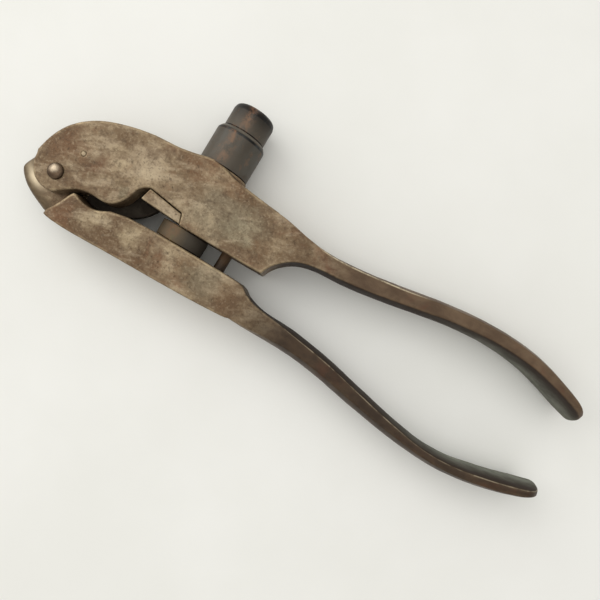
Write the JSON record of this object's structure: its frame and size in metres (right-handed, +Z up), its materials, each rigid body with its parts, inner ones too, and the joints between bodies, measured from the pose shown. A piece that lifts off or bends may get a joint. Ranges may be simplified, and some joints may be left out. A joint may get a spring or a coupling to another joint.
{
  "type": "crimping tool",
  "caption": "Hinged tongs with spoon-ended handles that seat and crimp a cartridge in a screwed side die, with extractor and recapping punch.",
  "frame": {"origin": "centre of the bounding box in plan, on the surface the tool lies on", "axes": "+X from the hinge end to the handle ends, +Y along the die axis away from the lower lever, +Z up, parallel to the hinge pin"},
  "size_m": [0.2234, 0.0788, 0.0229],
  "materials": {
    "forged_steel_frame": "worn brown patina on forged steel, fine pitting, brighter edges",
    "forged_steel_lever": "worn brown patina on forged steel, fine pitting, brighter edges",
    "hinge_pin_steel": "domed rivet head with a brown patina",
    "extractor_steel": "worn steel, brown patina",
    "extractor_pin_steel": "bright worn pin end",
    "blued_die_steel": "dark oxidised steel with orange-brown rust bloom",
    "lock_ring_steel": "dark oxidised steel",
    "blued_cap_steel": "dark oxidised steel with orange-brown rust bloom",
    "bright_stem_steel": "turned steel",
    "brown_anvil_steel": "brown oxidised steel",
    "brown_punch_steel": "brown oxidised turned steel"
  },
  "bodies": {
    "frame": {"frame": "forged_steel_frame", "hinge_pin": "hinge_pin_steel", "extractor_pin": "extractor_pin_steel", "die_body": "blued_die_steel"},
    "lower_lever": {"lower_lever": "forged_steel_lever", "loading_anvil": "brown_anvil_steel", "recapping_punch": "brown_punch_steel"},
    "extractor": {"extractor": "extractor_steel"},
    "seating_stem": {"seating_stem": "bright_stem_steel"},
    "seating_cap": {"seating_cap": "blued_cap_steel"},
    "lock_ring": {"lock_ring": "lock_ring_steel"}
  },
  "joints": [
    {"name": "lever_hinge", "type": "hinge", "parent": "frame", "child": "lower_lever", "pos_m": [-0.09661, -0.01737, 0.0107], "axis": [0, 0, -1], "range_deg": [0, 60]},
    {"name": "extractor_hinge", "type": "hinge", "parent": "frame", "child": "extractor", "pos_m": [-0.09133, -0.00702, 0.0107], "axis": [0, 0, -1], "range_deg": [0, 12]},
    {"name": "cap_lift", "type": "slide", "parent": "frame", "child": "seating_stem", "axis": [0, 1, 0], "range_m": [0, 0.00212]},
    {"name": "cap_turn", "type": "hinge", "parent": "seating_stem", "child": "seating_cap", "pos_m": [-0.0485, 0.03403, 0.0107], "axis": [0, 1, 0], "range_deg": [0, 722]},
    {"name": "lock_ring_turn", "type": "hinge", "parent": "frame", "child": "lock_ring", "pos_m": [-0.0485, 0.02923, 0.0107], "axis": [0, 1, 0], "range_deg": [0, 360]}
  ],
  "couplings": [
    {"joint": "extractor_hinge", "follows": "lever_hinge", "ratio": 0.2},
    {"joint": "cap_turn", "follows": "cap_lift", "rad_per_m": 5927.7}
  ]
}
